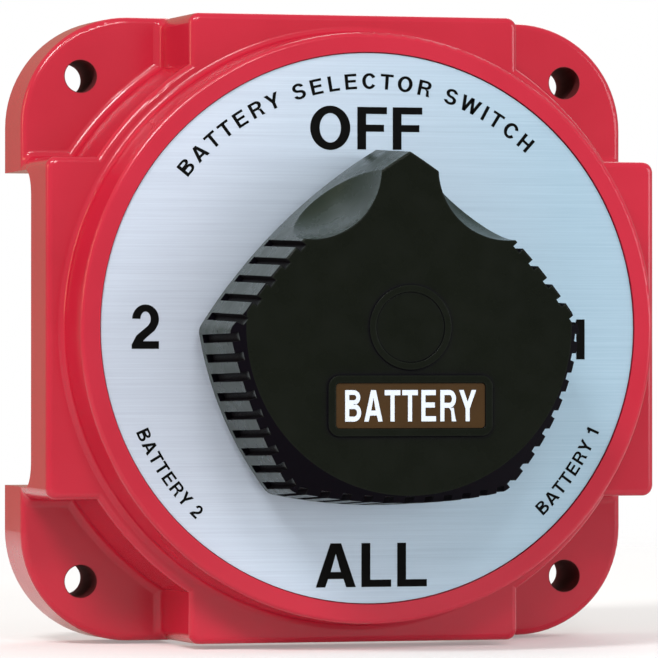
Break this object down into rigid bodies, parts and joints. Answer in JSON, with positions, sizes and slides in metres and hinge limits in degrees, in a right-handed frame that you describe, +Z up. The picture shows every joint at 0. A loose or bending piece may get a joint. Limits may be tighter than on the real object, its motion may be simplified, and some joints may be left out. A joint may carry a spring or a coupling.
{
  "type": "battery switch",
  "caption": "Surface-mounted rotary boat battery switch: a square moulded case with a round metal dial, a ribbed pointer knob and studs in its open back.",
  "frame": {"origin": "centre of the mounting plane, midway between the mounting holes", "axes": "-Y is the front, along the knob's axis towards the user; +Z is up; +X is to the user's right"},
  "size_m": [0.1418, 0.093, 0.1418],
  "materials": {
    "red_plastic": "glossy moulded",
    "brushed_aluminium": "horizontally brushed, printed in black",
    "black_plastic": "semi-matte moulded",
    "phenolic": "dark moulded insulator",
    "copper": "bare copper",
    "tinned_brass": "machined",
    "stainless_steel": "bright",
    "seal_rubber": "matte",
    "badge_brown": "printed label"
  },
  "bodies": {
    "case": {"housing": "red_plastic", "dial_plate": "brushed_aluminium", "terminal_base": "phenolic", "base_screws": "stainless_steel", "common_contact": "copper", "battery_one_contact": "copper", "battery_two_contact": "copper", "common_stud": "tinned_brass", "battery_one_stud": "tinned_brass", "battery_two_stud": "tinned_brass", "stud_washers": "stainless_steel", "stud_lock_washers": "stainless_steel", "stud_nuts": "stainless_steel"},
    "selector": {"knob": "black_plastic", "centre_plug": "black_plastic", "knob_washer": "stainless_steel", "knob_screw": "stainless_steel", "knob_badge": "badge_brown", "knob_shaft": "stainless_steel", "shaft_seal": "seal_rubber", "rotor": "phenolic", "contact_springs": "stainless_steel", "right_detent_spring": "stainless_steel", "left_detent_spring": "stainless_steel"},
    "bridge": {"contact_bridge": "copper"},
    "right_ball": {"right_detent_ball": "stainless_steel"},
    "left_ball": {"left_detent_ball": "stainless_steel"}
  },
  "joints": [
    {"name": "knob_turn", "type": "hinge", "parent": "case", "child": "selector", "pos_m": [0, -0.0559, 0], "axis": [0, 1, 0], "continuous": true},
    {"name": "bridge_float", "type": "slide", "parent": "selector", "child": "bridge", "axis": [0, -1, 0], "range_m": [0, 0.0008], "stiffness_N_per_m": 3000, "springref_m": -0.004, "deforming": ["contact_springs"]},
    {"name": "right_ball_spring", "type": "slide", "parent": "selector", "child": "right_ball", "axis": [0, -1, 0], "range_m": [0, 0.0008], "stiffness_N_per_m": 1500, "springref_m": 0.003, "deforming": ["right_detent_spring"]},
    {"name": "left_ball_spring", "type": "slide", "parent": "selector", "child": "left_ball", "axis": [0, -1, 0], "range_m": [0, 0.0008], "stiffness_N_per_m": 1500, "springref_m": 0.003, "deforming": ["left_detent_spring"]}
  ]
}
